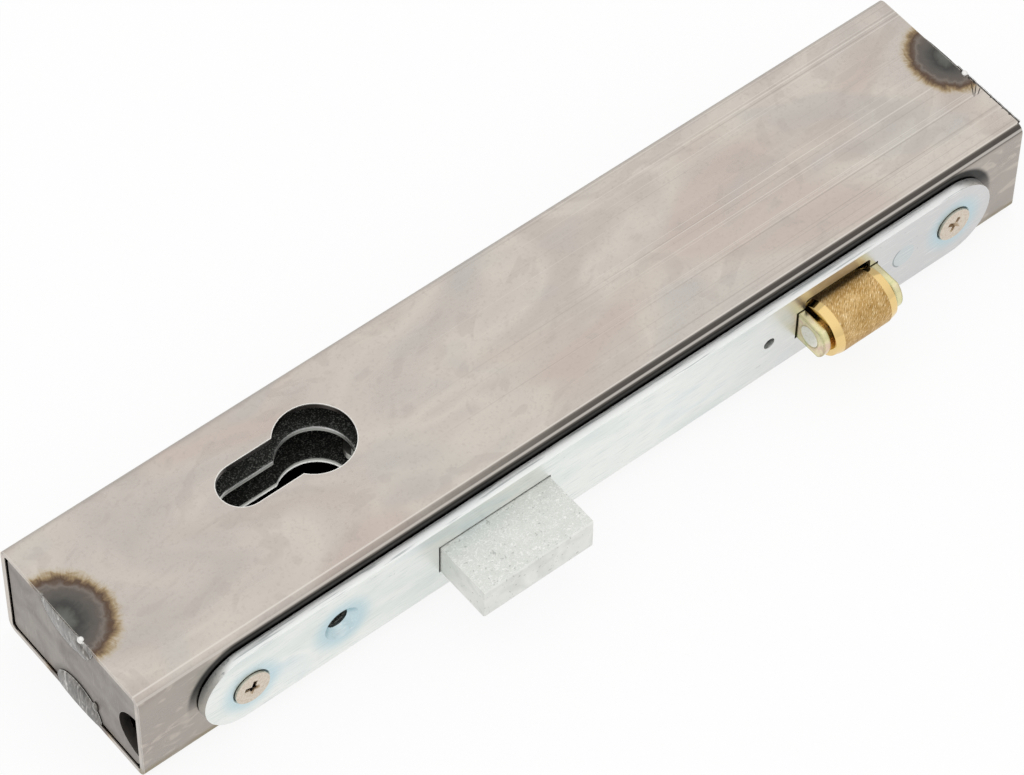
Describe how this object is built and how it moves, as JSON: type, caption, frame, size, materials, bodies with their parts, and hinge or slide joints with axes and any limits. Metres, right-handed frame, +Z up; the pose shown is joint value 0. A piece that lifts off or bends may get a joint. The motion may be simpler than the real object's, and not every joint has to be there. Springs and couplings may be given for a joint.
{
  "type": "roller mortise lock",
  "caption": "Mortise lock in a rectangular weld-in steel box: round-ended forend, thrown dead bolt, sprung brass roller latch in a yoke, profile cylinder hole and tacked end plates.",
  "frame": {"origin": "on the axis of the cylinder hole, half way through the thickness of the box", "axes": "+X along the box from the dead bolt to the roller latch, -Y the way the forend faces, +Z up through the thickness, along the cylinder's axis"},
  "size_m": [0.25, 0.0683, 0.03],
  "materials": {
    "mill_steel": "bare mill-finish steel with lengthwise drawing marks and light stains",
    "plate_steel": "cut steel plate, dull",
    "weld_steel": "ground tack weld",
    "nut_steel": "bare steel nut",
    "zinc_forend": "zinc-plated steel brushed lengthwise",
    "nickel_screw": "nickel-plated steel, satin",
    "dark_case": "dark oiled sheet steel",
    "bright_steel": "bright turned steel",
    "zinc_bolt": "zinc-plated steel, worn and scratched",
    "tail_steel": "zinc-plated stamped plate",
    "lever_steel": "zinc-plated stamped steel",
    "spring_steel": "drawn spring wire",
    "yellow_zinc": "yellow-passivated zinc on steel",
    "roller_brass": "turned brass, finely brushed, polished bevels"
  },
  "bodies": {
    "lock_box": {"box_tube": "mill_steel", "left_end_plate": "plate_steel", "right_end_plate": "plate_steel", "weld_beads": "weld_steel", "weld_nuts": "nut_steel", "forend": "zinc_forend", "forend_screws": "nickel_screw", "forend_rivets": "zinc_forend", "case_tray": "dark_case", "case_cover": "dark_case", "case_posts": "bright_steel", "cover_screws": "bright_steel", "bolt_guide_pin": "bright_steel", "lever_post": "bright_steel", "lever_spring": "spring_steel", "spring_seat": "tail_steel", "latch_spring": "spring_steel", "reach_screw": "bright_steel", "reach_nut": "bright_steel"},
    "dead_bolt_group": {"dead_bolt": "zinc_bolt", "bolt_tail": "tail_steel", "bolt_rivets": "bright_steel"},
    "lever_group": {"detent_lever": "lever_steel", "lever_stump": "bright_steel"},
    "latch_group": {"roller_yoke": "yellow_zinc", "roller_pin": "bright_steel", "spring_rod": "bright_steel", "rod_clip": "spring_steel"},
    "roller_group": {"latch_roller": "roller_brass"}
  },
  "joints": [
    {"name": "dead_bolt_slide", "type": "slide", "parent": "lock_box", "child": "dead_bolt_group", "axis": [0, 1, 0], "range_m": [0, 0.015]},
    {"name": "lever_swing", "type": "hinge", "parent": "lock_box", "child": "lever_group", "pos_m": [0.024, 0.011, 0], "axis": [0, 0, 1], "range_deg": [0, 8], "deforming": ["lever_spring"]},
    {"name": "latch_slide", "type": "slide", "parent": "lock_box", "child": "latch_group", "axis": [0, 1, 0], "range_m": [0, 0.01], "stiffness_N_per_m": 800, "springref_m": -0.005, "deforming": ["latch_spring"]},
    {"name": "roller_spin", "type": "hinge", "parent": "latch_group", "child": "roller_group", "pos_m": [0.1221, -0.0379, 0], "axis": [1, 0, 0], "continuous": true}
  ],
  "couplings": [
    {"joint": "lever_swing", "follows": "dead_bolt_slide", "rad_per_m": 9.3084}
  ]
}
